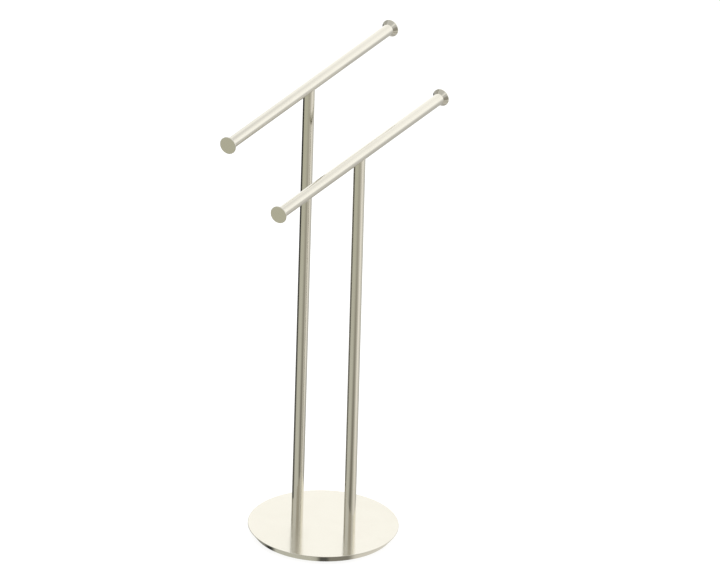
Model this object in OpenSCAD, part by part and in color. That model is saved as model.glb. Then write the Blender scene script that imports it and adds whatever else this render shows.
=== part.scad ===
// Free-standing double rail stand in polished nickel: a heavy round base, two upright
// tubes and a level rail across the top of each, with flared end caps. Millimetres, +Z up.
// The origin is on the floor under the middle of the base. +X runs along the rails.
// The tall T stands at the rear (+Y) and the short T at the front (-Y).

/* [Base] */
// Diameter of the plate at its top edge
base_d = 284; // [240:1:400]
// Thickness of the plate
base_t = 15; // [15:0.5:30]
// How far the side runs in from the top edge to the bottom edge
base_undercut = 11; // [0:0.5:20]
// Height of the narrow upright band under the top edge
base_land = 1.2; // [1.2:0.1:4]
// Rounding of the edges of the plate
base_edge_r = 0.5; // [0.2:0.1:0.5]
// Thickness of the non-slip pad
pad_t = 1.5; // [1:0.5:4]
// Rim of bare metal left round the pad
pad_inset = 6; // [2:1:20]
// Diameter of the two holes in the pad, for the key
pad_hole_d = 26; // [20:1:40]

/* [Posts] */
// Distance between the two post axes
post_pitch = 114; // [80:1:160]
// Outside diameter of the posts
post_d = 22; // [20:0.5:28]
// Wall of the posts
post_wall = 1.5; // [1:0.1:2.5]
// Height of the rear rail's axis above the base
rear_h = 900; // [600:2:1400]
// Height of the front rail's axis above the base
front_h = 786; // [500:2:1300]

/* [Rails] */
// Length of a rail with both its end caps
rail_len = 600; // [360:5:1200]
// Outside diameter of the rails
rail_d = 22; // [20:0.5:28]
// Wall of the rails
rail_wall = 1.5; // [1:0.1:2.5]
// Length of the solid core in the middle of a rail
core_len = 60; // [30:1:120]

/* [End caps] */
// Diameter of the cap's flat face
cap_d = 34; // [30:0.5:60]
// Thickness of the cap's rim
cap_rim = 2; // [1.4:0.1:8]
// Length of the flare between the rim and the tube
cap_flare = 8; // [2:0.1:20]
// Rounding of the rim's edges
cap_edge_r = 0.8; // [0.2:0.1:0.9]
// Length of the spigot inside the tube
cap_spigot_len = 20; // [8:1:60]

/* [Foot joint] */
// Diameter of the foot plug's turned pivot
pivot_d = 14; // [12:0.5:16]
// Length of the pivot below the post
pivot_len = 2.5; // [1.5:0.1:4]
// Plate left under the pivot's bore, which the foot bolt clamps
web_t = 3.6; // [2:0.1:4.1]
// Length of the foot bolt under its head
foot_bolt_len = 35; // [20:1:80]
// Solid metal above the thread in the foot plug
plug_crown = 12; // [4:1:40]
// Diameter of the counterbore for the bolt's head
counterbore_d = 18; // [17:0.5:24]

/* [Saddle joint] */
// Length of the saddle plug below the rail
saddle_len = 30; // [12:1:80]
// Thread of the saddle bolt that is held in the rail's core
saddle_thread = 12; // [6:0.5:14]

/* [Fasteners] */
// Thread diameter of the bolts
bolt_d = 8; // [6:1:8]
// Diameter of the bolts' domed head
head_d = 14; // [11:0.1:15]
// Height of the bolts' head
head_h = 4.4; // [3:0.1:5]
// Width of the key socket across its flats
key_w = 5; // [3:0.5:6]
// Depth of the key socket
key_depth = 2.6; // [1.5:0.1:2.8]
// Outside diameter of the flat washers
washer_d = 16; // [12:0.1:16.5]
// Thickness of the flat washers
washer_t = 1.6; // [1:0.1:2]
// Outside diameter of the spring washers
spring_washer_d = 14.8; // [12:0.1:16]
// Thickness of the spring washers
spring_washer_t = 2; // [1:0.1:2.2]
// Width of the split in the spring washers
split_w = 1.2; // [0.5:0.1:2]

/* [Fits] */
// Gap all round a piece that slides into or seats on another
fit = 0.05; // [0.02:0.01:0.1]
// Gap all round a bolt in a plain hole
hole_clear = 0.25; // [0.1:0.05:0.5]
// Room left past the end of a pivot or a thread
end_gap = 0.3; // [0.1:0.1:1]
// Lead-in at the end of a plug or spigot
lead_in = 0.8; // [0.2:0.1:1.5]

/* [Hidden] */
$fn = 96;
ARC_STEPS = 6;
// How far a cut runs past the face that it opens
CUT = 1;

NICKEL = [0.79, 0.76, 0.69];
BRASS = [0.75, 0.62, 0.36];
STEEL = [0.62, 0.63, 0.65];
RUBBER = [0.13, 0.13, 0.13];

// The two T frames: name, side of the base and height of the rail's axis
REAR = ["rear", 1, rear_h];
FRONT = ["front", -1, front_h];

PIECES = ["post", "foot_plug", "foot_bolt", "flat_washer", "spring_washer", "saddle_plug",
  "saddle_bolt", "saddle_washer", "rail", "rail_core", "left_cap", "right_cap"];

base_top = pad_t + base_t;
base_bottom_r = base_d / 2 - base_undercut;
post_bore = post_d - 2 * post_wall;
plug_d = post_bore - 2 * fit;

rail_bore = rail_d - 2 * rail_wall;
core_d = rail_bore - 2 * fit;
cope_d = rail_d + 2 * fit;
cap_len = cap_rim + cap_flare;
tube_len = rail_len - 2 * cap_len;

thread_bore = bolt_d + 2 * fit;
plain_bore = bolt_d + 2 * hole_clear;

// Heights at the foot, from the top of the base
pivot_depth = pivot_len + end_gap;
seat_z = -pivot_depth - web_t;
spring_seat_z = seat_z - washer_t;
foot_head_z = spring_seat_z - spring_washer_t;
foot_tip_z = foot_head_z + foot_bolt_len;
foot_bore_top = foot_tip_z + end_gap;
foot_plug_top = foot_bore_top + plug_crown;

// Heights at the saddle, from the rail's axis
saddle_seat_z = -rail_d / 2 - saddle_len;
saddle_head_z = saddle_seat_z - washer_t;
saddle_tip_z = saddle_thread - core_d / 2;
saddle_bolt_len = saddle_tip_z - saddle_head_z;

function unit(v) = v / norm(v);
function turned(v, angle) = [
  v.x * cos(angle) - v.y * sin(angle),
  v.x * sin(angle) + v.y * cos(angle)
];

// Arc that rounds the corner at p, on the way from a to b
function rounded(a, p, b, r) =
  let (
    u = unit(a - p),
    v = unit(b - p),
    half = acos(u * v) / 2,
    centre = p + unit(u + v) * r / sin(half),
    start = p + u * r / tan(half) - centre,
    sweep = -sign(cross(u, v)) * (180 - 2 * half)
  )
  [for (i = [0:ARC_STEPS]) centre + turned(start, sweep * i / ARC_STEPS)];

module at_foot(frame) {
  translate([0, frame[1] * post_pitch / 2, base_top]) children();
}

module at_rail(frame) {
  at_foot(frame) translate([0, 0, frame[2]]) children();
}

module along_x() {
  rotate([0, 90, 0]) children();
}

module ring(outer, bore, t) {
  difference() {
    cylinder(d = outer, h = t);
    translate([0, 0, -CUT]) cylinder(d = bore, h = t + 2 * CUT);
  }
}

// Space that the rail takes in the tops of the post and of the saddle plug
module rail_cope() {
  along_x() cylinder(d = cope_d, h = 2 * post_d, center = true);
}

// Domed head below z = 0 with its key socket, and a shank above
module bolt(len) {
  dome_r = (head_d * head_d / 4 + head_h * head_h) / (2 * head_h);
  translate([0, 0, -head_h]) difference() {
    union() {
      intersection() {
        cylinder(d = head_d, h = head_h);
        translate([0, 0, dome_r]) sphere(r = dome_r);
      }
      translate([0, 0, head_h]) cylinder(d = bolt_d, h = len);
    }
    translate([0, 0, -CUT]) cylinder(d = key_w / cos(30), h = key_depth + CUT, $fn = 6);
  }
}

// Round plate whose side leans in towards the floor
module base_plate() {
  floor_edge = [base_bottom_r, 0];
  lower_edge = [base_d / 2, base_t - base_land];
  upper_edge = [base_d / 2, base_t];
  outline = concat(
    [[0, 0]],
    rounded([0, 0], floor_edge, lower_edge, base_edge_r),
    rounded(floor_edge, lower_edge, upper_edge, base_edge_r),
    rounded(lower_edge, upper_edge, [0, base_t], base_edge_r),
    [[0, base_t]]
  );
  color(NICKEL) difference() {
    translate([0, 0, pad_t]) rotate_extrude() polygon(outline);
    for (frame = [REAR, FRONT]) at_foot(frame) {
      translate([0, 0, -pivot_depth]) cylinder(d = pivot_d + 2 * fit, h = pivot_depth + CUT);
      translate([0, 0, -base_t]) cylinder(d = plain_bore, h = base_t);
      translate([0, 0, -base_t - CUT]) cylinder(d = counterbore_d, h = base_t + CUT + seat_z);
    }
  }
}

// Thin pad under the plate, open below the two bolts
module non_slip_pad() {
  color(RUBBER) difference() {
    cylinder(r = base_bottom_r - pad_inset, h = pad_t);
    for (frame = [REAR, FRONT]) at_foot(frame)
      translate([0, 0, -base_top - CUT]) cylinder(d = pad_hole_d, h = pad_t + 2 * CUT);
  }
}

// Upright tube, coped at the top to sit under the rail
module post(height) {
  color(NICKEL) difference() {
    ring(post_d, post_bore, height);
    translate([0, 0, height]) rail_cope();
  }
}

// Turned plug in the bottom of the post, with the pivot that the T turns on
module foot_plug() {
  color(BRASS) difference() {
    union() {
      translate([0, 0, -pivot_len]) cylinder(d = pivot_d, h = pivot_len + lead_in);
      cylinder(d = plug_d, h = foot_plug_top - lead_in);
      translate([0, 0, foot_plug_top - lead_in])
        cylinder(d1 = plug_d, d2 = plug_d - 2 * lead_in, h = lead_in);
    }
    translate([0, 0, -pivot_len - CUT])
      cylinder(d = thread_bore, h = foot_bore_top + pivot_len + CUT);
  }
}

// Bolt that clamps the base's web up against the foot plug
module foot_bolt() {
  color(STEEL) translate([0, 0, foot_head_z]) bolt(foot_bolt_len);
}

module flat_washer() {
  color(STEEL) translate([0, 0, spring_seat_z]) ring(washer_d, plain_bore, washer_t);
}

// Spring washer, split on one side
module spring_washer() {
  color(STEEL) translate([0, 0, foot_head_z]) difference() {
    ring(spring_washer_d, plain_bore, spring_washer_t);
    translate([0, -split_w / 2, -CUT]) cube([spring_washer_d, split_w, spring_washer_t + 2 * CUT]);
  }
}

// Plug in the top of the post, coped like the post
module saddle_plug() {
  color(BRASS) difference() {
    union() {
      translate([0, 0, saddle_seat_z])
        cylinder(d1 = plug_d - 2 * lead_in, d2 = plug_d, h = lead_in);
      translate([0, 0, saddle_seat_z + lead_in]) cylinder(d = plug_d, h = -saddle_seat_z - lead_in);
    }
    rail_cope();
    translate([0, 0, saddle_seat_z - CUT]) cylinder(d = plain_bore, h = -saddle_seat_z + CUT);
  }
}

// Bolt that draws the rail's core down on the saddle plug
module saddle_bolt() {
  color(STEEL) translate([0, 0, saddle_head_z]) bolt(saddle_bolt_len);
}

module saddle_washer() {
  color(STEEL) translate([0, 0, saddle_head_z]) ring(washer_d, plain_bore, washer_t);
}

// Level tube with one hole in its underside for the saddle bolt
module rail() {
  color(NICKEL) difference() {
    translate([-tube_len / 2, 0, 0]) along_x() ring(rail_d, rail_bore, tube_len);
    translate([0, 0, -rail_d]) cylinder(d = plain_bore, h = rail_d);
  }
}

// Solid core that the saddle bolt screws into
module rail_core() {
  color(BRASS) difference() {
    along_x() cylinder(d = core_d, h = core_len, center = true);
    translate([0, 0, -rail_d]) cylinder(d = thread_bore, h = rail_d + saddle_tip_z + end_gap);
  }
}

// Flared disc with a spigot in the tube, on the end that side names: -1 left, 1 right
module end_cap(side) {
  rim_out = [cap_d / 2, 0];
  rim_in = [cap_d / 2, cap_rim];
  neck = [rail_d / 2, cap_len];
  spigot_r = core_d / 2;
  spigot_end = cap_len + cap_spigot_len;
  outline = concat(
    [[0, 0]],
    rounded([0, 0], rim_out, rim_in, cap_edge_r),
    rounded(rim_out, rim_in, neck, cap_edge_r),
    [
      neck,
      [spigot_r, cap_len],
      [spigot_r, spigot_end - lead_in],
      [spigot_r - lead_in, spigot_end],
      [0, spigot_end]
    ]
  );
  color(NICKEL) translate([side * rail_len / 2, 0, 0])
    rotate([0, -90 * side, 0]) rotate_extrude() polygon(outline);
}

base_plate();
non_slip_pad();
for (frame = [REAR, FRONT]) {
  name = frame[0];
  at_foot(frame) {
    post(frame[2]);
    foot_plug();
    foot_bolt();
    flat_washer();
    spring_washer();
  }
  at_rail(frame) {
    saddle_plug();
    saddle_bolt();
    saddle_washer();
    rail();
    rail_core();
    end_cap(-1);
    end_cap(1);
  }
}
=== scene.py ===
"""Looks of the free-standing double rail stand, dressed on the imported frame. Metres, +Z up."""
from math import cos, hypot, pi, radians, sin, sqrt

import bmesh
import bpy
from mathutils import Matrix, Vector


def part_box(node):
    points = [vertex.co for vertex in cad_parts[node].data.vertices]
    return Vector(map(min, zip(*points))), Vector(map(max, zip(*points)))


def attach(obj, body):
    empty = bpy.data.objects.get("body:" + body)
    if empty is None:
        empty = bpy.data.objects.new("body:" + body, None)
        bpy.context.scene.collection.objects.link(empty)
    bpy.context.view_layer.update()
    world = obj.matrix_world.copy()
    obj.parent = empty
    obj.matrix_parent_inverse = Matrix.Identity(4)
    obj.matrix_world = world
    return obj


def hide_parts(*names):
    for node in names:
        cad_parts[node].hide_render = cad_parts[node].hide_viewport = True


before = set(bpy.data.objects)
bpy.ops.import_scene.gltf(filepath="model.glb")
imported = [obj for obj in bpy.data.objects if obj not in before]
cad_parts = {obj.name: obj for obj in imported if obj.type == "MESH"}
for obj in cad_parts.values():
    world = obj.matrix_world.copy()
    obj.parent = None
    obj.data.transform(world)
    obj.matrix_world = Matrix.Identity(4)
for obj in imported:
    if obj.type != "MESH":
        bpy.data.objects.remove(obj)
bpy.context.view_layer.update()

# Name that each T's pieces start with, and the body that they ride on
T_FRAMES = (("rear", "tall_t"), ("front", "short_t"))

# Fine sizes of the pieces, which the frame's boxes do not give
BASE_UNDERCUT = 0.011
BASE_LAND = 0.0012
BASE_EDGE = 0.0005
BASE_LAND_EDGE = 0.00025
PIVOT_R = 0.00705
PIVOT_DEPTH = 0.0028
WEB = 0.0036
BOLT_HOLE_R = 0.00425
COUNTERBORE_R = 0.009
PAD_HOLE_R = 0.013
PAD_EDGE = 0.0003
TUBE_WALL = 0.0015
FIT = 0.00005
CAP_RIM = 0.002
CAP_FLARE = 0.008
CAP_EDGE = 0.0008
CAP_RIM_EDGE = 0.00032
SPIGOT_LEAD_IN = 0.0008

# Width of the narrow faces beside a rounded edge, which let the large faces shade flat
BASE_KEEP = 3 * BASE_EDGE
PAD_KEEP = 3 * PAD_EDGE
CAP_KEEP = 2 * CAP_EDGE

# How far a cutter stands out of the faces that it opens
CUT_OVER = 0.001

# Steps round a full turn, and across a rounded edge
BASE_STEPS = 360
TUBE_STEPS = 128
CAP_STEPS = 128
BORE_STEPS = 64
ROUND_STEPS = 4

# Angle from which an edge stays sharp, and distances at which points merge or lie on one ring
SHARP_ANGLE = radians(35)
MERGE = 1e-6
NEAR = 2e-6

# Photograph's frame in pixels, and its parallel view
IMAGE_W = 720
IMAGE_H = 586
PIXELS_PER_METRE = 532.0
BASE_CENTRE_PIXEL = (323.26, 523.50)
VIEW_AZIMUTH = radians(-60)
VIEW_ELEVATION = radians(26.26)
VIEW_ROLL = radians(1.6)
CAMERA_DISTANCE = 6.0

# Level directions towards the camera and to its right
TOWARDS = Vector((sin(VIEW_AZIMUTH), -cos(VIEW_AZIMUTH), 0))
RIGHT = Vector((cos(VIEW_AZIMUTH), sin(VIEW_AZIMUTH), 0))


# Shapes

def lathe(outline, steps, closed=False):
    """Turns an outline of (radius, height) points round the Z axis."""
    bm = bmesh.new()
    verts = [bm.verts.new((radius, 0, height)) for radius, height in outline]
    edges = [bm.edges.new(pair) for pair in zip(verts, verts[1:])]
    if closed:
        edges.append(bm.edges.new((verts[-1], verts[0])))
    bmesh.ops.spin(bm, geom=verts + edges, cent=(0, 0, 0), axis=(0, 0, 1), angle=2 * pi,
                   steps=steps, use_merge=True)
    bmesh.ops.remove_doubles(bm, verts=bm.verts, dist=MERGE)
    bmesh.ops.recalc_face_normals(bm, faces=bm.faces)
    return bm


def round_ring(bm, radius, height, offset):
    """Rounds the ring edge at one radius and height."""
    def on_ring(vert):
        return abs(hypot(vert.co.x, vert.co.y) - radius) < NEAR and abs(vert.co.z - height) < NEAR
    ring = [edge for edge in bm.edges if all(on_ring(vert) for vert in edge.verts)]
    bmesh.ops.bevel(bm, geom=ring, offset=offset, offset_type="OFFSET", segments=ROUND_STEPS,
                    profile=0.5, affect="EDGES", material=-1)


def move(bm, matrix):
    """Moves or turns the whole shape."""
    bmesh.ops.transform(bm, matrix=matrix, verts=bm.verts)


def loose_object(bm, name):
    """Makes an object of a shape, at the origin, and frees the shape."""
    mesh = bpy.data.meshes.new(name)
    bm.to_mesh(mesh)
    bm.free()
    loose = bpy.data.objects.new(name, mesh)
    bpy.context.collection.objects.link(loose)
    return loose


def cut_with(bm, cutters):
    """Takes the cutters' space out of the shape and gives the cut shape back."""
    work = loose_object(bm, "work")
    tools = [loose_object(cutter, "cutter") for cutter in cutters]
    for tool in tools:
        cut = work.modifiers.new("cut", "BOOLEAN")
        cut.operation = "DIFFERENCE"
        cut.solver = "EXACT"
        cut.object = tool
    depsgraph = bpy.context.evaluated_depsgraph_get()
    cut_mesh = bpy.data.meshes.new_from_object(work.evaluated_get(depsgraph))
    result = bmesh.new()
    result.from_mesh(cut_mesh)
    bpy.data.meshes.remove(cut_mesh)
    for loose in [work] + tools:
        mesh = loose.data
        bpy.data.objects.remove(loose)
        bpy.data.meshes.remove(mesh)
    bmesh.ops.remove_doubles(result, verts=result.verts, dist=MERGE)
    return result


def make_piece(bm, name, body, node, finish):
    """Makes a finished piece that stands for one node and rides on its body."""
    piece = loose_object(bm, name)
    mesh = piece.data
    mesh.polygons.foreach_set("use_smooth", [True] * len(mesh.polygons))
    mesh.set_sharp_from_angle(angle=SHARP_ANGLE)
    mesh.materials.append(finish)
    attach(piece, body)
    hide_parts(node)


def onto_post_axis(name):
    """Move from the Z axis to the axis of a post."""
    low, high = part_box(f"{name}_post")
    return Matrix.Translation(((low.x + high.x) / 2, (low.y + high.y) / 2, 0))


def cutters_under_posts(outline):
    """Turned cutters of one outline, one on the axis of each post."""
    cutters = []
    for name, _ in T_FRAMES:
        cutter = lathe(outline, BORE_STEPS)
        move(cutter, onto_post_axis(name))
        cutters.append(cutter)
    return cutters


def base_plate(finish):
    """Round plate whose side leans in, with a pivot bore and a bolt's counterbore under each post."""
    low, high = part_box("base_plate")
    radius = high.x
    floor_r = radius - BASE_UNDERCUT
    land_z = high.z - BASE_LAND
    lean = Vector((BASE_UNDERCUT, land_z - low.z)).normalized()
    bm = lathe((
        (0, low.z),
        (floor_r - BASE_KEEP, low.z),
        (floor_r, low.z),
        (floor_r + BASE_KEEP * lean.x, low.z + BASE_KEEP * lean.y),
        (radius - BASE_KEEP * lean.x, land_z - BASE_KEEP * lean.y),
        (radius, land_z),
        (radius, high.z),
        (radius - BASE_KEEP, high.z),
        (0, high.z),
    ), BASE_STEPS)
    round_ring(bm, floor_r, low.z, BASE_EDGE)
    round_ring(bm, radius, land_z, BASE_LAND_EDGE)
    round_ring(bm, radius, high.z, BASE_EDGE)
    bore_z = high.z - PIVOT_DEPTH
    seat_z = bore_z - WEB
    bores = cutters_under_posts((
        (0, low.z - CUT_OVER),
        (COUNTERBORE_R, low.z - CUT_OVER),
        (COUNTERBORE_R, seat_z),
        (BOLT_HOLE_R, seat_z),
        (BOLT_HOLE_R, bore_z),
        (PIVOT_R, bore_z),
        (PIVOT_R, high.z + CUT_OVER),
        (0, high.z + CUT_OVER),
    ))
    make_piece(cut_with(bm, bores), "base_disc", "base", "base_plate", finish)


def non_slip_pad(finish):
    """Thin disc under the plate, open below the foot bolts."""
    low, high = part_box("non_slip_pad")
    radius = high.x
    bm = lathe((
        (0, low.z),
        (radius - PAD_KEEP, low.z),
        (radius, low.z),
        (radius, high.z),
        (0, high.z),
    ), BASE_STEPS)
    round_ring(bm, radius, low.z, PAD_EDGE)
    holes = cutters_under_posts((
        (0, low.z - CUT_OVER),
        (PAD_HOLE_R, low.z - CUT_OVER),
        (PAD_HOLE_R, high.z + CUT_OVER),
        (0, high.z + CUT_OVER),
    ))
    make_piece(cut_with(bm, holes), "pad_disc", "base", "non_slip_pad", finish)


def post(name, body, finish):
    """Upright tube whose top follows the round of the rail it carries."""
    low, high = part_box(f"{name}_post")
    rail_low, rail_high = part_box(f"{name}_rail")
    radius = (high.x - low.x) / 2
    bore = radius - TUBE_WALL
    rail_z = (rail_low.z + rail_high.z) / 2
    cope_r = (rail_high.z - rail_low.z) / 2 + FIT
    below_cope = rail_z - 2 * cope_r
    bm = lathe((
        (bore, low.z),
        (radius, low.z),
        (radius, below_cope),
        (radius, high.z),
        (bore, high.z),
        (bore, below_cope),
    ), TUBE_STEPS, closed=True)
    for vert in bm.verts:
        if vert.co.z > below_cope + NEAR:
            vert.co.z = rail_z - sqrt(cope_r ** 2 - vert.co.y ** 2)
    move(bm, onto_post_axis(name))
    make_piece(bm, f"{name}_post_tube", body, f"{name}_post", finish)


def rail(name, body, finish):
    """Level tube with the saddle bolt's hole in its underside."""
    low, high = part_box(f"{name}_rail")
    radius = (high.z - low.z) / 2
    bore = radius - TUBE_WALL
    half = (high.x - low.x) / 2
    near_hole = 2 * BOLT_HOLE_R
    bm = lathe((
        (bore, -half),
        (radius, -half),
        (radius, -near_hole),
        (radius, near_hole),
        (radius, half),
        (bore, half),
        (bore, near_hole),
        (bore, -near_hole),
    ), TUBE_STEPS, closed=True)
    move(bm, Matrix.Rotation(pi / 2, 4, "Y"))
    hole = lathe((
        (0, -2 * radius),
        (BOLT_HOLE_R, -2 * radius),
        (BOLT_HOLE_R, 0),
        (0, 0),
    ), BORE_STEPS)
    bm = cut_with(bm, [hole])
    move(bm, Matrix.Translation((low + high) / 2))
    make_piece(bm, f"{name}_rail_tube", body, f"{name}_rail", finish)


def end_cap(name, side, body, finish):
    """Flared disc with its spigot, on the left or right end of a rail."""
    low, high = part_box(f"{name}_{side}_cap")
    rail_low, rail_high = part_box(f"{name}_rail")
    radius = (high.z - low.z) / 2
    neck_r = (rail_high.z - rail_low.z) / 2
    spigot_r = neck_r - TUBE_WALL - FIT
    length = high.x - low.x
    neck_z = CAP_RIM + CAP_FLARE
    flare = Vector((neck_r - radius, CAP_FLARE)).normalized()
    bm = lathe((
        (0, 0),
        (radius - CAP_KEEP, 0),
        (radius, 0),
        (radius, CAP_RIM),
        (radius + CAP_KEEP * flare.x, CAP_RIM + CAP_KEEP * flare.y),
        (neck_r, neck_z),
        (spigot_r, neck_z),
        (spigot_r, length - SPIGOT_LEAD_IN),
        (spigot_r - SPIGOT_LEAD_IN, length),
        (0, length),
    ), CAP_STEPS)
    round_ring(bm, radius, 0, CAP_EDGE)
    round_ring(bm, radius, CAP_RIM, CAP_RIM_EDGE)
    outward = -1 if side == "left" else 1
    face_x = low.x if side == "left" else high.x
    middle = (low + high) / 2
    move(bm, Matrix.Rotation(-outward * pi / 2, 4, "Y"))
    move(bm, Matrix.Translation((face_x, middle.y, middle.z)))
    make_piece(bm, f"{name}_{side}_end_cap", body, f"{name}_{side}_cap", finish)


# Shader nodes

def add_node(tree, kind, **settings):
    """Adds a node and sets what it is told to."""
    node = tree.nodes.new(kind)
    for key, value in settings.items():
        setattr(node, key, value)
    return node


def feed(tree, operand, socket):
    """Links a socket to the operand, or sets it where the operand is a plain value."""
    if operand is None:
        return
    if isinstance(operand, bpy.types.NodeSocket):
        tree.links.new(operand, socket)
    else:
        socket.default_value = operand


def math_node(tree, operation, first, second=None, third=None, clamp=False):
    """Math node; each operand is a number or a socket."""
    node = add_node(tree, "ShaderNodeMath", operation=operation, use_clamp=clamp)
    for socket, operand in zip(node.inputs, (first, second, third)):
        feed(tree, operand, socket)
    return node.outputs[0]


def product(tree, first, second):
    """Product of two numbers or sockets."""
    return math_node(tree, "MULTIPLY", first, second)


def add_share(tree, start, mask, share, clamp=False):
    """Adds a share of a mask to a starting value."""
    return math_node(tree, "MULTIPLY_ADD", mask, share, start, clamp=clamp)


def remap(tree, value, from_low, from_high, to_low=0.0, to_high=1.0, smooth=True):
    """Carries a value from one range to another, and holds it at the ends."""
    node = add_node(tree, "ShaderNodeMapRange")
    node.interpolation_type = "SMOOTHSTEP" if smooth else "LINEAR"
    for key, operand in (("Value", value), ("From Min", from_low), ("From Max", from_high),
                         ("To Min", to_low), ("To Max", to_high)):
        feed(tree, operand, node.inputs[key])
    return node.outputs["Result"]


def fade_in(tree, value, middle, soft):
    """Rises from 0 to 1 round the middle value."""
    return remap(tree, value, middle - soft, middle + soft)


def fade_out(tree, value, middle, soft):
    """Falls from 1 to 0 round the middle value."""
    return remap(tree, value, middle - soft, middle + soft, to_low=1.0, to_high=0.0)


def mix_colour(tree, factor, first, second):
    """First colour where the factor is 0, second where it is 1."""
    node = add_node(tree, "ShaderNodeMix", data_type="RGBA")
    feed(tree, factor, node.inputs["Factor"])
    feed(tree, first, node.inputs[6])
    feed(tree, second, node.inputs[7])
    return node.outputs[2]


def dot(tree, vector, axis):
    """How far a vector reaches along an axis."""
    node = add_node(tree, "ShaderNodeVectorMath", operation="DOT_PRODUCT")
    tree.links.new(vector, node.inputs[0])
    node.inputs[1].default_value = axis
    return node.outputs["Value"]


def vector_length(tree, vector):
    """Length of a vector."""
    node = add_node(tree, "ShaderNodeVectorMath", operation="LENGTH")
    tree.links.new(vector, node.inputs[0])
    return node.outputs["Value"]


def stretched(tree, vector, scale):
    """Vector with each of its axes scaled by itself."""
    node = add_node(tree, "ShaderNodeVectorMath", operation="MULTIPLY")
    feed(tree, vector, node.inputs[0])
    feed(tree, scale, node.inputs[1])
    return node.outputs["Vector"]


def noise(tree, vector, scale, detail, roughness=0.5, distortion=0.0):
    """Cloudy pattern; the scale is a number or a socket."""
    node = add_node(tree, "ShaderNodeTexNoise")
    tree.links.new(vector, node.inputs["Vector"])
    feed(tree, scale, node.inputs["Scale"])
    node.inputs["Detail"].default_value = detail
    node.inputs["Roughness"].default_value = roughness
    node.inputs["Distortion"].default_value = distortion
    return node.outputs["Fac"]


def new_group(name, inputs, outputs):
    """Empty shader node group with its sockets; gives the tree, its input and its output node."""
    tree = bpy.data.node_groups.new(name, "ShaderNodeTree")
    for in_out, sockets in (("INPUT", inputs), ("OUTPUT", outputs)):
        for label, kind in sockets:
            tree.interface.new_socket(name=label, in_out=in_out, socket_type=f"NodeSocket{kind}")
    return tree, tree.nodes.new("NodeGroupInput"), tree.nodes.new("NodeGroupOutput")


def place_group(tree, group, **operands):
    """Places a group; an underscore in an operand's name stands for a space in its socket's."""
    node = add_node(tree, "ShaderNodeGroup", node_tree=group)
    for key, operand in operands.items():
        feed(tree, operand, node.inputs[key.replace("_", " ")])
    return node


# Finishes

# Polished nickel: its colours, and the least roughness of the plate, the tubes and the caps
NICKEL_CLEAN = (0.800, 0.772, 0.690, 1)
NICKEL_HAZED = (0.782, 0.753, 0.670, 1)
BASE_ROUGH = 0.13
TUBE_ROUGH = 0.10
CAP_ROUGH = 0.10
# Rates per metre of the tubes' lines along X, Y and Z, low along the tube, and of the discs' rings outwards
POST_LINES = (900, 900, 9)
RAIL_LINES = (9, 900, 900)
BASE_RINGS = 900.0
CAP_RINGS = 2500.0

# Colours, least roughness and tool marks of the pieces inside and underneath
BRASS_BRIGHT = (0.78, 0.58, 0.27, 1)
BRASS_DULL = (0.60, 0.42, 0.19, 1)
BRASS_ROUGH = 0.22
BRASS_LINES = (40, 40, 3000)
ZINC_BRIGHT = (0.62, 0.63, 0.66, 1)
ZINC_DULL = (0.50, 0.50, 0.48, 1)
ZINC_ROUGH = 0.2
RUBBER_BLACK = (0.016, 0.016, 0.016, 1)
RUBBER_WORN = (0.045, 0.044, 0.042, 1)
RUBBER_ROUGH = 0.7

# Fine clouds to each large cloud of the wiping haze
FINE_CLOUDS = 7.0
# Share of the dust cells without a speck, and share of a speck's radius before its soft edge
EMPTY_CELLS = 0.6
SPECK_CORE = 0.5


def wiping_haze_group():
    """Faint clouds that a wiping cloth leaves on polished metal."""
    tree, given, result = new_group("wiping_haze", (("Vector", "Vector"), ("Clouds per metre", "Float")),
                                    (("Haze", "Float"),))
    vector = given.outputs["Vector"]
    rate = given.outputs["Clouds per metre"]
    clouds = noise(tree, vector, rate, detail=3.0, roughness=0.55, distortion=0.8)
    fine = noise(tree, vector, product(tree, rate, FINE_CLOUDS), detail=4.0, roughness=0.6)
    both = add_share(tree, clouds, fine, share=0.35)
    tree.links.new(remap(tree, both, from_low=0.5, from_high=0.95), result.inputs["Haze"])
    return tree


def draw_lines_group():
    """Fine lines that run along a drawn and buffed tube."""
    tree, given, result = new_group("draw_lines", (("Vector", "Vector"), ("Lines per metre", "Vector")),
                                    (("Lines", "Float"),))
    scaled = stretched(tree, given.outputs["Vector"], given.outputs["Lines per metre"])
    lines = noise(tree, scaled, scale=1.0, detail=5.0, roughness=0.65)
    tree.links.new(remap(tree, lines, from_low=0.3, from_high=0.7, smooth=False), result.inputs["Lines"])
    return tree


def turned_rings_group():
    """Rings of a turned face, round the axis that runs through the vector's origin along Z."""
    tree, given, result = new_group("turned_rings", (("Vector", "Vector"), ("Rings per metre", "Float")),
                                    (("Rings", "Float"),))
    radius = vector_length(tree, stretched(tree, given.outputs["Vector"], (1.0, 1.0, 0.0)))
    ring = add_node(tree, "ShaderNodeTexNoise", noise_dimensions="1D")
    tree.links.new(product(tree, radius, given.outputs["Rings per metre"]), ring.inputs["W"])
    ring.inputs["Scale"].default_value = 1.0
    ring.inputs["Detail"].default_value = 4.0
    rings = remap(tree, ring.outputs["Fac"], from_low=0.3, from_high=0.7, smooth=False)
    tree.links.new(rings, result.inputs["Rings"])
    return tree


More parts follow.
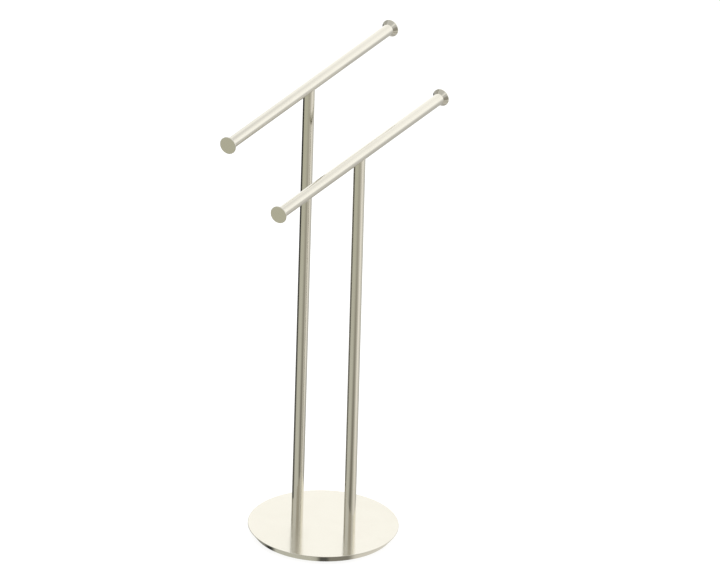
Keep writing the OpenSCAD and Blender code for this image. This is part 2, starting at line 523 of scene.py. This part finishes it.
def dust_group():
    """Sparse small specks, one at most in each cell; their size is a share of the cell."""
    tree, given, result = new_group("dust_specks", (("Vector", "Vector"), ("Cells per metre", "Float"),
                                                    ("Speck size", "Float")), (("Specks", "Float"),))
    cells = add_node(tree, "ShaderNodeTexVoronoi", feature="F1")
    tree.links.new(given.outputs["Vector"], cells.inputs["Vector"])
    tree.links.new(given.outputs["Cells per metre"], cells.inputs["Scale"])
    chance = add_node(tree, "ShaderNodeSeparateColor")
    tree.links.new(cells.outputs["Color"], chance.inputs["Color"])
    some = math_node(tree, "GREATER_THAN", chance.outputs["Red"], EMPTY_CELLS)
    size = product(tree, given.outputs["Speck size"], chance.outputs["Green"])
    core = product(tree, size, SPECK_CORE)
    near = remap(tree, cells.outputs["Distance"], core, size, to_low=1.0, to_high=0.0)
    tree.links.new(product(tree, near, some), result.inputs["Specks"])
    return tree


def new_material(name):
    """Material with a bare shader; gives the material, its tree, its shader and Object coordinates."""
    material = bpy.data.materials.new(name)
    material.use_nodes = True
    tree = material.node_tree
    shader = tree.nodes["Principled BSDF"]
    coords = add_node(tree, "ShaderNodeTexCoord").outputs["Object"]
    return material, tree, shader, coords


def haze_mask(tree, groups, coords, rate):
    """Wiping haze on a piece."""
    return place_group(tree, groups["haze"], Vector=coords, Clouds_per_metre=rate).outputs["Haze"]


def speck_mask(tree, groups, coords, rate, size):
    """Dust specks on a piece."""
    node = place_group(tree, groups["dust"], Vector=coords, Cells_per_metre=rate, Speck_size=size)
    return node.outputs["Specks"]


def line_mask(tree, groups, coords, rates):
    """Drawn lines on a piece."""
    return place_group(tree, groups["lines"], Vector=coords, Lines_per_metre=rates).outputs["Lines"]


def bump(tree, shader, height, strength, distance):
    """Raises the surface by a height mask."""
    node = add_node(tree, "ShaderNodeBump")
    node.inputs["Strength"].default_value = strength
    node.inputs["Distance"].default_value = distance
    tree.links.new(height, node.inputs["Height"])
    tree.links.new(node.outputs["Normal"], shader.inputs["Normal"])


def polish_nickel(tree, shader, coords, groups, lines, base_rough):
    """Mirror polish with faint haze, a few specks and fine lines or rings."""
    haze = haze_mask(tree, groups, coords, rate=14.0)
    specks = speck_mask(tree, groups, coords, rate=130.0, size=0.09)
    soil = add_share(tree, haze, specks, share=0.3, clamp=True)
    tree.links.new(mix_colour(tree, soil, NICKEL_CLEAN, NICKEL_HAZED), shader.inputs["Base Color"])
    rough = add_share(tree, base_rough, haze, share=0.02)
    rough = add_share(tree, rough, lines, share=0.02)
    rough = add_share(tree, rough, specks, share=0.1)
    tree.links.new(rough, shader.inputs["Roughness"])
    shader.inputs["Metallic"].default_value = 1.0
    bump(tree, shader, lines, strength=0.06, distance=0.00002)


def drawn_nickel(name, groups, rates):
    """Nickel of a tube, with fine lines along it."""
    material, tree, shader, coords = new_material(name)
    lines = line_mask(tree, groups, coords, rates)
    polish_nickel(tree, shader, coords, groups, lines, TUBE_ROUGH)
    return material


def turned_nickel(name, groups, base_rough, rate, centre, turn):
    """Nickel of a disc, with fine rings round its axis."""
    material, tree, shader, coords = new_material(name)
    centred = add_node(tree, "ShaderNodeMapping", vector_type="TEXTURE")
    centred.inputs["Location"].default_value = centre
    centred.inputs["Rotation"].default_value = turn
    tree.links.new(coords, centred.inputs["Vector"])
    rings = place_group(tree, groups["rings"], Vector=centred.outputs["Vector"], Rings_per_metre=rate)
    polish_nickel(tree, shader, coords, groups, rings.outputs["Rings"], base_rough)
    return material


def turned_brass(groups):
    """Brass of the plugs and cores, with tool marks and dull clouds."""
    material, tree, shader, coords = new_material("turned_brass")
    lines = line_mask(tree, groups, coords, BRASS_LINES)
    haze = haze_mask(tree, groups, coords, rate=60.0)
    tree.links.new(mix_colour(tree, haze, BRASS_BRIGHT, BRASS_DULL), shader.inputs["Base Color"])
    rough = add_share(tree, BRASS_ROUGH, lines, share=0.12)
    rough = add_share(tree, rough, haze, share=0.15)
    tree.links.new(rough, shader.inputs["Roughness"])
    shader.inputs["Metallic"].default_value = 1.0
    bump(tree, shader, lines, strength=0.3, distance=0.00005)
    return material


def zinc_steel(groups):
    """Zinc plated steel of the bolts and washers, finely grained."""
    material, tree, shader, coords = new_material("zinc_steel")
    haze = haze_mask(tree, groups, coords, rate=90.0)
    grain = noise(tree, coords, scale=1500.0, detail=3.0)
    tree.links.new(mix_colour(tree, haze, ZINC_BRIGHT, ZINC_DULL), shader.inputs["Base Color"])
    rough = add_share(tree, ZINC_ROUGH, grain, share=0.2)
    rough = add_share(tree, rough, haze, share=0.15)
    tree.links.new(rough, shader.inputs["Roughness"])
    shader.inputs["Metallic"].default_value = 1.0
    bump(tree, shader, grain, strength=0.2, distance=0.00005)
    return material


def pad_rubber(groups):
    """Black rubber of the pad, porous and greyed by dust."""
    material, tree, shader, coords = new_material("pad_rubber")
    pores = noise(tree, coords, scale=900.0, detail=4.0, roughness=0.6)
    specks = speck_mask(tree, groups, coords, rate=260.0, size=0.2)
    haze = haze_mask(tree, groups, coords, rate=30.0)
    worn = add_share(tree, haze, specks, share=0.5, clamp=True)
    tree.links.new(mix_colour(tree, worn, RUBBER_BLACK, RUBBER_WORN), shader.inputs["Base Color"])
    tree.links.new(add_share(tree, RUBBER_ROUGH, pores, share=0.2), shader.inputs["Roughness"])
    bump(tree, shader, pores, strength=0.5, distance=0.0002)
    return material


def dress_node(node, finish):
    """Gives a node of the frame its finish."""
    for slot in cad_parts[node].material_slots:
        slot.material = finish


# Studio

# Degrees of half a turn, and half height of a card that covers every elevation
HALF_TURN = 180.0
EVERY_ELEVATION = 90.0


def soft_card_group():
    """Soft-edged rectangle in azimuth and elevation, in degrees."""
    tree, given, result = new_group(
        "soft_card",
        [(label, "Float") for label in ("Azimuth", "Elevation", "Card azimuth", "Card elevation",
                                        "Half width", "Half height", "Soft")],
        (("Mask", "Float"),))
    soft = given.outputs["Soft"]
    aside = math_node(tree, "SUBTRACT", given.outputs["Azimuth"], given.outputs["Card azimuth"])
    aside = math_node(tree, "ABSOLUTE", math_node(tree, "WRAP", aside, HALF_TURN, -HALF_TURN))
    above = math_node(tree, "SUBTRACT", given.outputs["Elevation"], given.outputs["Card elevation"])
    above = math_node(tree, "ABSOLUTE", above)
    masks = []
    for distance, half in ((aside, "Half width"), (above, "Half height")):
        inner = math_node(tree, "SUBTRACT", given.outputs[half], soft)
        outer = math_node(tree, "ADD", given.outputs[half], soft)
        masks.append(remap(tree, distance, inner, outer, to_low=1.0, to_high=0.0))
    tree.links.new(product(tree, *masks), result.inputs["Mask"])
    return tree


def soft_card(tree, name, azimuth, elevation, card_azimuth, card_elevation, width, height, soft):
    """Mask of one card, from the bearing and elevation sockets."""
    node = place_group(tree, bpy.data.node_groups["soft_card"], Azimuth=azimuth, Elevation=elevation,
                       Card_azimuth=card_azimuth, Card_elevation=card_elevation,
                       Half_width=width, Half_height=height, Soft=soft)
    node.label = name
    return node.outputs["Mask"]


def bearing(tree, vector):
    """Azimuth from the camera's side towards the right, and elevation, of a vector, in degrees."""
    unit = add_node(tree, "ShaderNodeVectorMath", operation="NORMALIZE")
    tree.links.new(vector, unit.inputs[0])
    unit = unit.outputs["Vector"]
    azimuth = math_node(tree, "ARCTAN2", dot(tree, unit, RIGHT), dot(tree, unit, TOWARDS))
    elevation = math_node(tree, "ARCSINE", dot(tree, unit, (0, 0, 1)))
    return math_node(tree, "DEGREES", azimuth), math_node(tree, "DEGREES", elevation)


# Room as the metal mirrors it, and the pale backdrop that the camera sees in its place
ROOM_TONE = (0.72, 0.735, 0.75, 1)
BACKDROP_TONE = (0.97, 0.97, 0.965, 1)
# Cards round the stand: bearing, elevation, half width, half height and softness in degrees, colour
ROOM_CARDS = (
    ("below", 0, -60, 181, 52, 10, (0.50, 0.49, 0.44, 1)),
    ("high", -60, 68, 75, 20, 16, (0.60, 0.60, 0.57, 1)),
    ("back", 160, 35, 60, 50, 25, (0.84, 0.84, 0.81, 1)),
    ("right", 107, 24, 40, 32, 24, (0.98, 0.98, 0.95, 1)),
    ("front_shade", 7, 24, 29, 13, 14, (0.46, 0.445, 0.405, 1)),
    ("front_flag", 24, -4, 34, 20, 10, (0.33, 0.32, 0.285, 1)),
    ("front_glow", 22, 47, 14, 6, 5, (0.94, 0.93, 0.88, 1)),
    ("right_low", 89, -26, 41, 11, 5, (0.74, 0.725, 0.69, 1)),
    ("right_low_glow", 73, -26, 11, 11, 12, (1.0, 0.97, 0.905, 1)),
    ("left_shade", -120, 9, 22, 33, 12, (0.45, 0.45, 0.42, 1)),
    ("left_flag", -152, 26, 16, 10, 8, (0.22, 0.22, 0.20, 1)),
)


def studio_world():
    """Soft cards round the stand, and the pale backdrop."""
    world = bpy.data.worlds.new("studio")
    bpy.context.scene.world = world
    world.use_nodes = True
    tree = world.node_tree
    azimuth, elevation = bearing(tree, add_node(tree, "ShaderNodeTexCoord").outputs["Generated"])
    tone = ROOM_TONE
    for name, *card, colour in ROOM_CARDS:
        tone = mix_colour(tree, soft_card(tree, name, azimuth, elevation, *card), tone, colour)
    path = add_node(tree, "ShaderNodeLightPath")
    seen = mix_colour(tree, path.outputs["Is Camera Ray"], tone, BACKDROP_TONE)
    tree.links.new(seen, tree.nodes["Background"].inputs["Color"])


def flat_sheet(name, size, place):
    """Square sheet of the studio, turned and moved from the middle of the floor."""
    bm = bmesh.new()
    bmesh.ops.create_grid(bm, x_segments=1, y_segments=1, size=size / 2)
    move(bm, place)
    sheet = loose_object(bm, name)
    return sheet


def only_mirrored(sheet):
    """Leaves a sheet to be seen by reflections alone."""
    for ray in ("camera", "diffuse", "transmission", "volume_scatter", "shadow"):
        setattr(sheet, f"visible_{ray}", False)


def glowing_material(name):
    """Empty material for a light card; gives the material, its tree and Object coordinates."""
    material = bpy.data.materials.new(name)
    material.use_nodes = True
    tree = material.node_tree
    tree.nodes.remove(tree.nodes["Principled BSDF"])
    return material, tree, add_node(tree, "ShaderNodeTexCoord").outputs["Object"]


def glow_where(tree, tone, strength, mask):
    """Gives a card its glow where the mask is 1, and leaves it clear where the mask is 0."""
    glow = add_node(tree, "ShaderNodeEmission")
    glow.inputs["Strength"].default_value = strength
    tree.links.new(tone, glow.inputs["Color"])
    clear = add_node(tree, "ShaderNodeBsdfTransparent")
    both = add_node(tree, "ShaderNodeMixShader")
    tree.links.new(mask, both.inputs["Fac"])
    tree.links.new(clear.outputs["BSDF"], both.inputs[1])
    tree.links.new(glow.outputs["Emission"], both.inputs[2])
    tree.links.new(both.outputs["Shader"], tree.nodes["Material Output"].inputs["Surface"])


# Table top as the metal mirrors it, a glowing sheet with painted light and shade, and the distances of its
# patches' near and far colours
TABLE_SIZE = 7.0
TABLE_DROP = 0.001
TABLE_GLOW = 1.0
TABLE_NEAR = 0.15
TABLE_FAR = 1.65
TABLE_TONE = (0.555, 0.560, 0.492, 1)
# Patches of painted light and shade on the table: bearing, half width and softness in degrees, near and far
# colour
TABLE_PATCHES = (
    ("left_tone", -60, 50, 15, (0.57, 0.57, 0.515, 1), (0.525, 0.524, 0.434, 1)),
    ("far_right", 105, 85, 12, (0.555, 0.555, 0.490, 1), (0.72, 0.70, 0.635, 1)),
    ("right_tone", 112, 62, 18, (0.72, 0.70, 0.66, 1), (0.76, 0.745, 0.705, 1)),
    ("right_glow", 71, 11, 14, (0.80, 0.775, 0.72, 1), (1.06, 1.03, 0.96, 1)),
    ("right_back", 150, 40, 16, (0.44, 0.43, 0.405, 1), (0.59, 0.585, 0.565, 1)),
    ("front_shade", 12, 23, 23, (0.18, 0.17, 0.145, 1), (0.444, 0.43, 0.37, 1)),
    ("left_dark", -130, 38, 6, (0.13, 0.13, 0.12, 1), (0.04, 0.04, 0.036, 1)),
    ("back_glow", 180, 7, 8, (0.40, 0.40, 0.38, 1), (1.0, 1.0, 0.98, 1)),
)
# Ring close round the base, where the posts' shadows are painted on the table: its reach and softness, and
# its patches
RING = (0.17, 0.015)
RING_PATCHES = (
    ("ring_left", -28, 28, 2, (0.56, 0.56, 0.50, 1)),
    ("ring_right", 75, 50, 4, (0.72, 0.70, 0.64, 1)),
    # Painted shadows of the posts: the rear one's soft edge and dark core, the front one's skirt and dark
    # core
    ("rear_post_shadow_blur", -58.5, 11.5, 6, (0.27, 0.27, 0.245, 1)),
    ("rear_post_shade", -50.5, 5, 3.5, (0.05, 0.05, 0.045, 1)),
    ("front_post_shade", 10.5, 13, 9, (0.25, 0.24, 0.21, 1)),
    ("front_post_shadow_core", 1, 4.2, 2.5, (0.10, 0.10, 0.09, 1)),
)
# Edge farther off than the posts mirror, which only the right end caps see, with a painted shade on it
EDGE = (1.95, 0.12)
EDGE_PATCHES = (
    ("edge_shade", 50, 26, 8, (0.29, 0.28, 0.24, 1)),
)
# Gap in the table at the right, from its near reach to the edge, through which the low cards show
GAP = (0.57, 0.2)
GAP_PATCH = ("gap", 80, 32, 8)


def table_patch(tree, azimuth, name, patch_azimuth, width, soft):
    """Mask of a patch of the table that covers a stretch of bearings at every distance."""
    return soft_card(tree, name, azimuth, 0, patch_azimuth, 0, width, EVERY_ELEVATION, soft)


def table_card():
    """Glowing table top with painted light and shade, which only the metal's reflections see."""
    sheet = flat_sheet("table_card", TABLE_SIZE, Matrix.Translation((0, 0, -TABLE_DROP)))
    only_mirrored(sheet)
    material, tree, coords = glowing_material("table_card")
    azimuth, _ = bearing(tree, coords)
    reach = vector_length(tree, coords)
    far = remap(tree, reach, TABLE_NEAR, TABLE_FAR, smooth=False)
    tone = TABLE_TONE
    for *patch, near_colour, far_colour in TABLE_PATCHES:
        mask = table_patch(tree, azimuth, *patch)
        tone = mix_colour(tree, mask, tone, mix_colour(tree, far, near_colour, far_colour))
    ring = fade_out(tree, reach, *RING)
    edge = fade_in(tree, reach, *EDGE)
    for zone, patches in ((ring, RING_PATCHES), (edge, EDGE_PATCHES)):
        for *patch, colour in patches:
            mask = product(tree, table_patch(tree, azimuth, *patch), zone)
            tone = mix_colour(tree, mask, tone, colour)
    before_edge = math_node(tree, "SUBTRACT", fade_in(tree, reach, *GAP), edge, clamp=True)
    gap = product(tree, table_patch(tree, azimuth, *GAP_PATCH), before_edge)
    glow_where(tree, tone, TABLE_GLOW, math_node(tree, "SUBTRACT", 1.0, gap))
    sheet.data.materials.append(material)


# Lit wall past the right ends of the rails: its place, half its side and its strength
WALL_X = 2.0
WALL_HALF = 4.0
WALL_GLOW = 1.20
# Share of blue in its light, its brightest tone, and its tones at heights in metres
WALL_BLUE = 0.985
WALL_BRIGHT = 0.985
WALL_TONES = (
    (0.0, 0.50),
    (0.5, 0.68),
    (1.05, 0.96),
    (1.3, WALL_BRIGHT),
    (2.05, 0.95),
    (2.5, 0.845),
    (2.85, 0.64),
    (3.4, 0.55),
)
# Middle and softness of its left, right and top run-outs, and of the bright part at its lower left
WALL_LEFT = (1.95, 0.55)
WALL_RIGHT = (-3.2, 0.8)
WALL_TOP = (3.4, 0.4)
BRIGHT_SIDE = (0.6, 0.5)
BRIGHT_TOP = (1.15, 0.15)


def wall_light(tone):
    """Colour of one tone of the wall."""
    return (tone, tone, tone * WALL_BLUE, 1)


def lit_wall():
    """Tall soft light that only the metal's reflections see."""
    upright = Matrix.Translation((WALL_X, 0, WALL_HALF)) @ Matrix.Rotation(pi / 2, 4, "Y")
    sheet = flat_sheet("lit_wall", 2 * WALL_HALF, upright)
    only_mirrored(sheet)
    material, tree, coords = glowing_material("lit_wall")
    across = dot(tree, coords, (0, 1, 0))
    height = dot(tree, coords, (0, 0, 1))
    ramp = add_node(tree, "ShaderNodeValToRGB")
    stops = ramp.color_ramp.elements
    while len(stops) < len(WALL_TONES):
        stops.new(position=0.5)
    for stop, (level, tone) in zip(stops, WALL_TONES):
        stop.position = level / WALL_HALF
        stop.color = wall_light(tone)
    tree.links.new(math_node(tree, "DIVIDE", height, WALL_HALF), ramp.inputs["Fac"])
    bright = product(tree, fade_in(tree, across, *BRIGHT_SIDE), fade_out(tree, height, *BRIGHT_TOP))
    tone = mix_colour(tree, bright, ramp.outputs["Color"], wall_light(WALL_BRIGHT))
    sides = product(tree, fade_out(tree, across, *WALL_LEFT), fade_in(tree, across, *WALL_RIGHT))
    glow_where(tree, tone, WALL_GLOW, product(tree, sides, fade_out(tree, height, *WALL_TOP)))
    sheet.data.materials.append(material)


# Pale floor, and the lamp above it
FLOOR_SIZE = 24.0
FLOOR_DROP = 0.0002
FLOOR_DARK = (0.22, 0.22, 0.22, 1)
FLOOR_LIGHT = (0.24, 0.24, 0.24, 1)
FLOOR_GLOW_TONE = (1, 1, 0.995, 1)
FLOOR_GLOW = 0.88
LAMP_PLACE = (0.3, 0.3, 3.0)
LAMP_SIZE = 3.0
LAMP_WATTS = 70.0


def pale_floor():
    """Floor that the camera sees and the metal does not mirror."""
    sheet = flat_sheet("pale_floor", FLOOR_SIZE, Matrix.Translation((0, 0, -FLOOR_DROP)))
    sheet.visible_glossy = False
    material, tree, shader, coords = new_material("pale_floor")
    grain = noise(tree, coords, scale=3.0, detail=2.0)
    tree.links.new(mix_colour(tree, grain, FLOOR_DARK, FLOOR_LIGHT), shader.inputs["Base Color"])
    shader.inputs["Roughness"].default_value = 1.0
    shader.inputs["Specular IOR Level"].default_value = 0.0
    shader.inputs["Emission Color"].default_value = FLOOR_GLOW_TONE
    shader.inputs["Emission Strength"].default_value = FLOOR_GLOW
    sheet.data.materials.append(material)


def overhead_light():
    """Large round lamp above the stand, not mirrored by the metal."""
    light = bpy.data.lights.new("overhead_light", "AREA")
    light.shape = "DISK"
    light.size = LAMP_SIZE
    light.energy = LAMP_WATTS
    lamp = bpy.data.objects.new("overhead_light", light)
    lamp.location = LAMP_PLACE
    lamp.visible_glossy = False
    bpy.context.collection.objects.link(lamp)


def photo_camera():
    """Parallel view that puts the middle of the base on its pixel of the photograph."""
    back = cos(VIEW_ELEVATION) * TOWARDS + Vector((0, 0, sin(VIEW_ELEVATION)))
    upright = back.cross(RIGHT)
    across = cos(VIEW_ROLL) * RIGHT + sin(VIEW_ROLL) * upright
    up = cos(VIEW_ROLL) * upright - sin(VIEW_ROLL) * RIGHT
    base_centre = Vector((0, 0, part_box("base_plate")[1].z))
    aim = (base_centre - across * (BASE_CENTRE_PIXEL[0] - IMAGE_W / 2) / PIXELS_PER_METRE
           + up * (BASE_CENTRE_PIXEL[1] - IMAGE_H / 2) / PIXELS_PER_METRE)
    lens = bpy.data.cameras.new("photo_camera")
    lens.type = "ORTHO"
    lens.ortho_scale = IMAGE_W / PIXELS_PER_METRE
    camera = bpy.data.objects.new("photo_camera", lens)
    turn = Matrix((across, up, back)).transposed().to_4x4()
    camera.matrix_world = Matrix.Translation(aim + back * CAMERA_DISTANCE) @ turn
    bpy.context.collection.objects.link(camera)
    bpy.context.scene.camera = camera


def dress_stand():
    """Makes the finer pieces, and gives them and the other nodes their finishes."""
    groups = {"haze": wiping_haze_group(), "lines": draw_lines_group(), "rings": turned_rings_group(),
              "dust": dust_group()}
    brass = turned_brass(groups)
    steel = zinc_steel(groups)
    base_finish = turned_nickel("base_nickel", groups, BASE_ROUGH, BASE_RINGS,
                                centre=(0, 0, 0), turn=(0, 0, 0))
    base_plate(base_finish)
    non_slip_pad(pad_rubber(groups))
    for name, body in T_FRAMES:
        post(name, body, drawn_nickel(f"{name}_post_nickel", groups, POST_LINES))
        rail(name, body, drawn_nickel(f"{name}_rail_nickel", groups, RAIL_LINES))
        rail_low, rail_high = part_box(f"{name}_rail")
        cap_finish = turned_nickel(f"{name}_cap_nickel", groups, CAP_ROUGH, CAP_RINGS,
                                   centre=(rail_low + rail_high) / 2, turn=(0, pi / 2, 0))
        for side in ("left", "right"):
            end_cap(name, side, body, cap_finish)
        for piece in ("foot_plug", "saddle_plug", "rail_core"):
            dress_node(f"{name}_{piece}", brass)
        for piece in ("foot_bolt", "flat_washer", "spring_washer", "saddle_bolt", "saddle_washer"):
            dress_node(f"{name}_{piece}", steel)


dress_stand()
soft_card_group()
studio_world()
table_card()
lit_wall()
pale_floor()
overhead_light()
photo_camera()
bpy.context.scene.view_settings.view_transform = "Standard"
